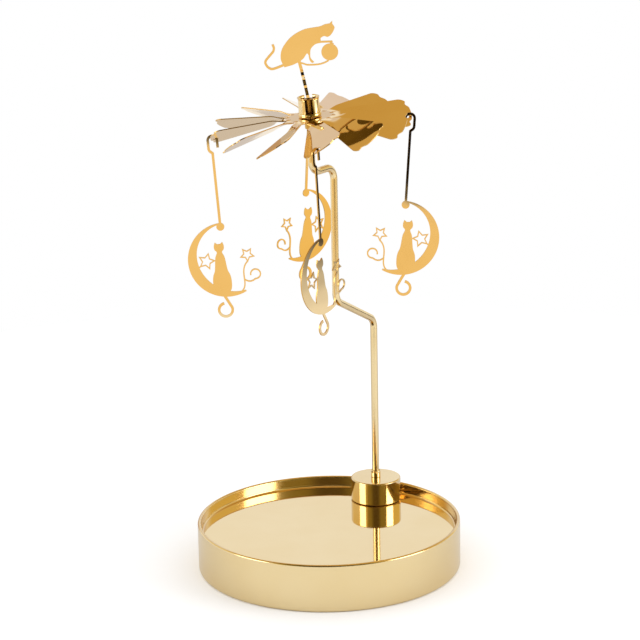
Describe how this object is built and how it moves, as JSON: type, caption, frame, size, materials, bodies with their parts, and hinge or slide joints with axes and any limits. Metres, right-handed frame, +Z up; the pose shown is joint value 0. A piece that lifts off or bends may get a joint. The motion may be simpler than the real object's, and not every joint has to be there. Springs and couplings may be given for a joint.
{
  "type": "rotating candle carousel",
  "caption": "Polished gold candle carousel: round tea-light tray, bent wire stem on a magnetic weight, and a vaned rotor carrying hanging crescent-moon pendants and a cat figure.",
  "frame": {"origin": "centre of the tray's foot ring, on the surface that it stands on", "axes": "+Z up along the tray's axis, +Y towards the back of the tray, where the stem's weight stands, +X to the right as seen from the front"},
  "size_m": [0.1054, 0.105, 0.2192],
  "materials": {
    "polished_gold": "polished",
    "gilded_sheet": "polished",
    "turned_brass": "satin",
    "steel": "satin"
  },
  "bodies": {
    "tray": {"tray_pan": "polished_gold"},
    "stem": {"stem_weight": "polished_gold", "stem_magnet": "steel", "stem_ferrule": "polished_gold", "stem_rod": "polished_gold", "pivot_needle": "steel"},
    "rotor": {"vane_rotor": "gilded_sheet", "bearing_cup": "turned_brass", "slotted_post": "turned_brass", "split_crown": "polished_gold"},
    "ornament": {"cat_figure": "gilded_sheet"},
    "pendant_left": {"pendant_left": "gilded_sheet"},
    "pendant_front": {"pendant_front": "gilded_sheet"},
    "pendant_right": {"pendant_right": "gilded_sheet"},
    "pendant_back": {"pendant_back": "gilded_sheet"}
  },
  "joints": [
    {"name": "stem_lift", "type": "slide", "parent": "tray", "child": "stem", "axis": [0, 0, 1], "range_m": [0, 0.03]},
    {"name": "rotor_spin", "type": "hinge", "parent": "stem", "child": "rotor", "pos_m": [-0.00397, -0.00024, 0.1801], "axis": [0, 0, 1], "continuous": true},
    {"name": "figure_lift", "type": "slide", "parent": "rotor", "child": "ornament", "axis": [-0.213, -0.046, 0.976], "range_m": [0, 0.012]},
    {"name": "pendant_left_swing", "type": "hinge", "parent": "rotor", "child": "pendant_left", "pos_m": [-0.04184, -0.00234, 0.17554], "axis": [-0.007, 1, 0], "range_deg": [-4, 18]},
    {"name": "pendant_front_swing", "type": "hinge", "parent": "rotor", "child": "pendant_front", "pos_m": [-0.00242, -0.03797, 0.17671], "axis": [-0.8131, 0.5821, 0], "range_deg": [-7, 18]},
    {"name": "pendant_right_swing", "type": "hinge", "parent": "rotor", "child": "pendant_right", "pos_m": [0.03421, 0.00205, 0.18181], "axis": [0.007, -1, 0], "range_deg": [-4, 18]},
    {"name": "pendant_back_swing", "type": "hinge", "parent": "rotor", "child": "pendant_back", "pos_m": [-0.0049, 0.03737, 0.17993], "axis": [0.6212, -0.7837, 0], "range_deg": [-4, 18]}
  ]
}
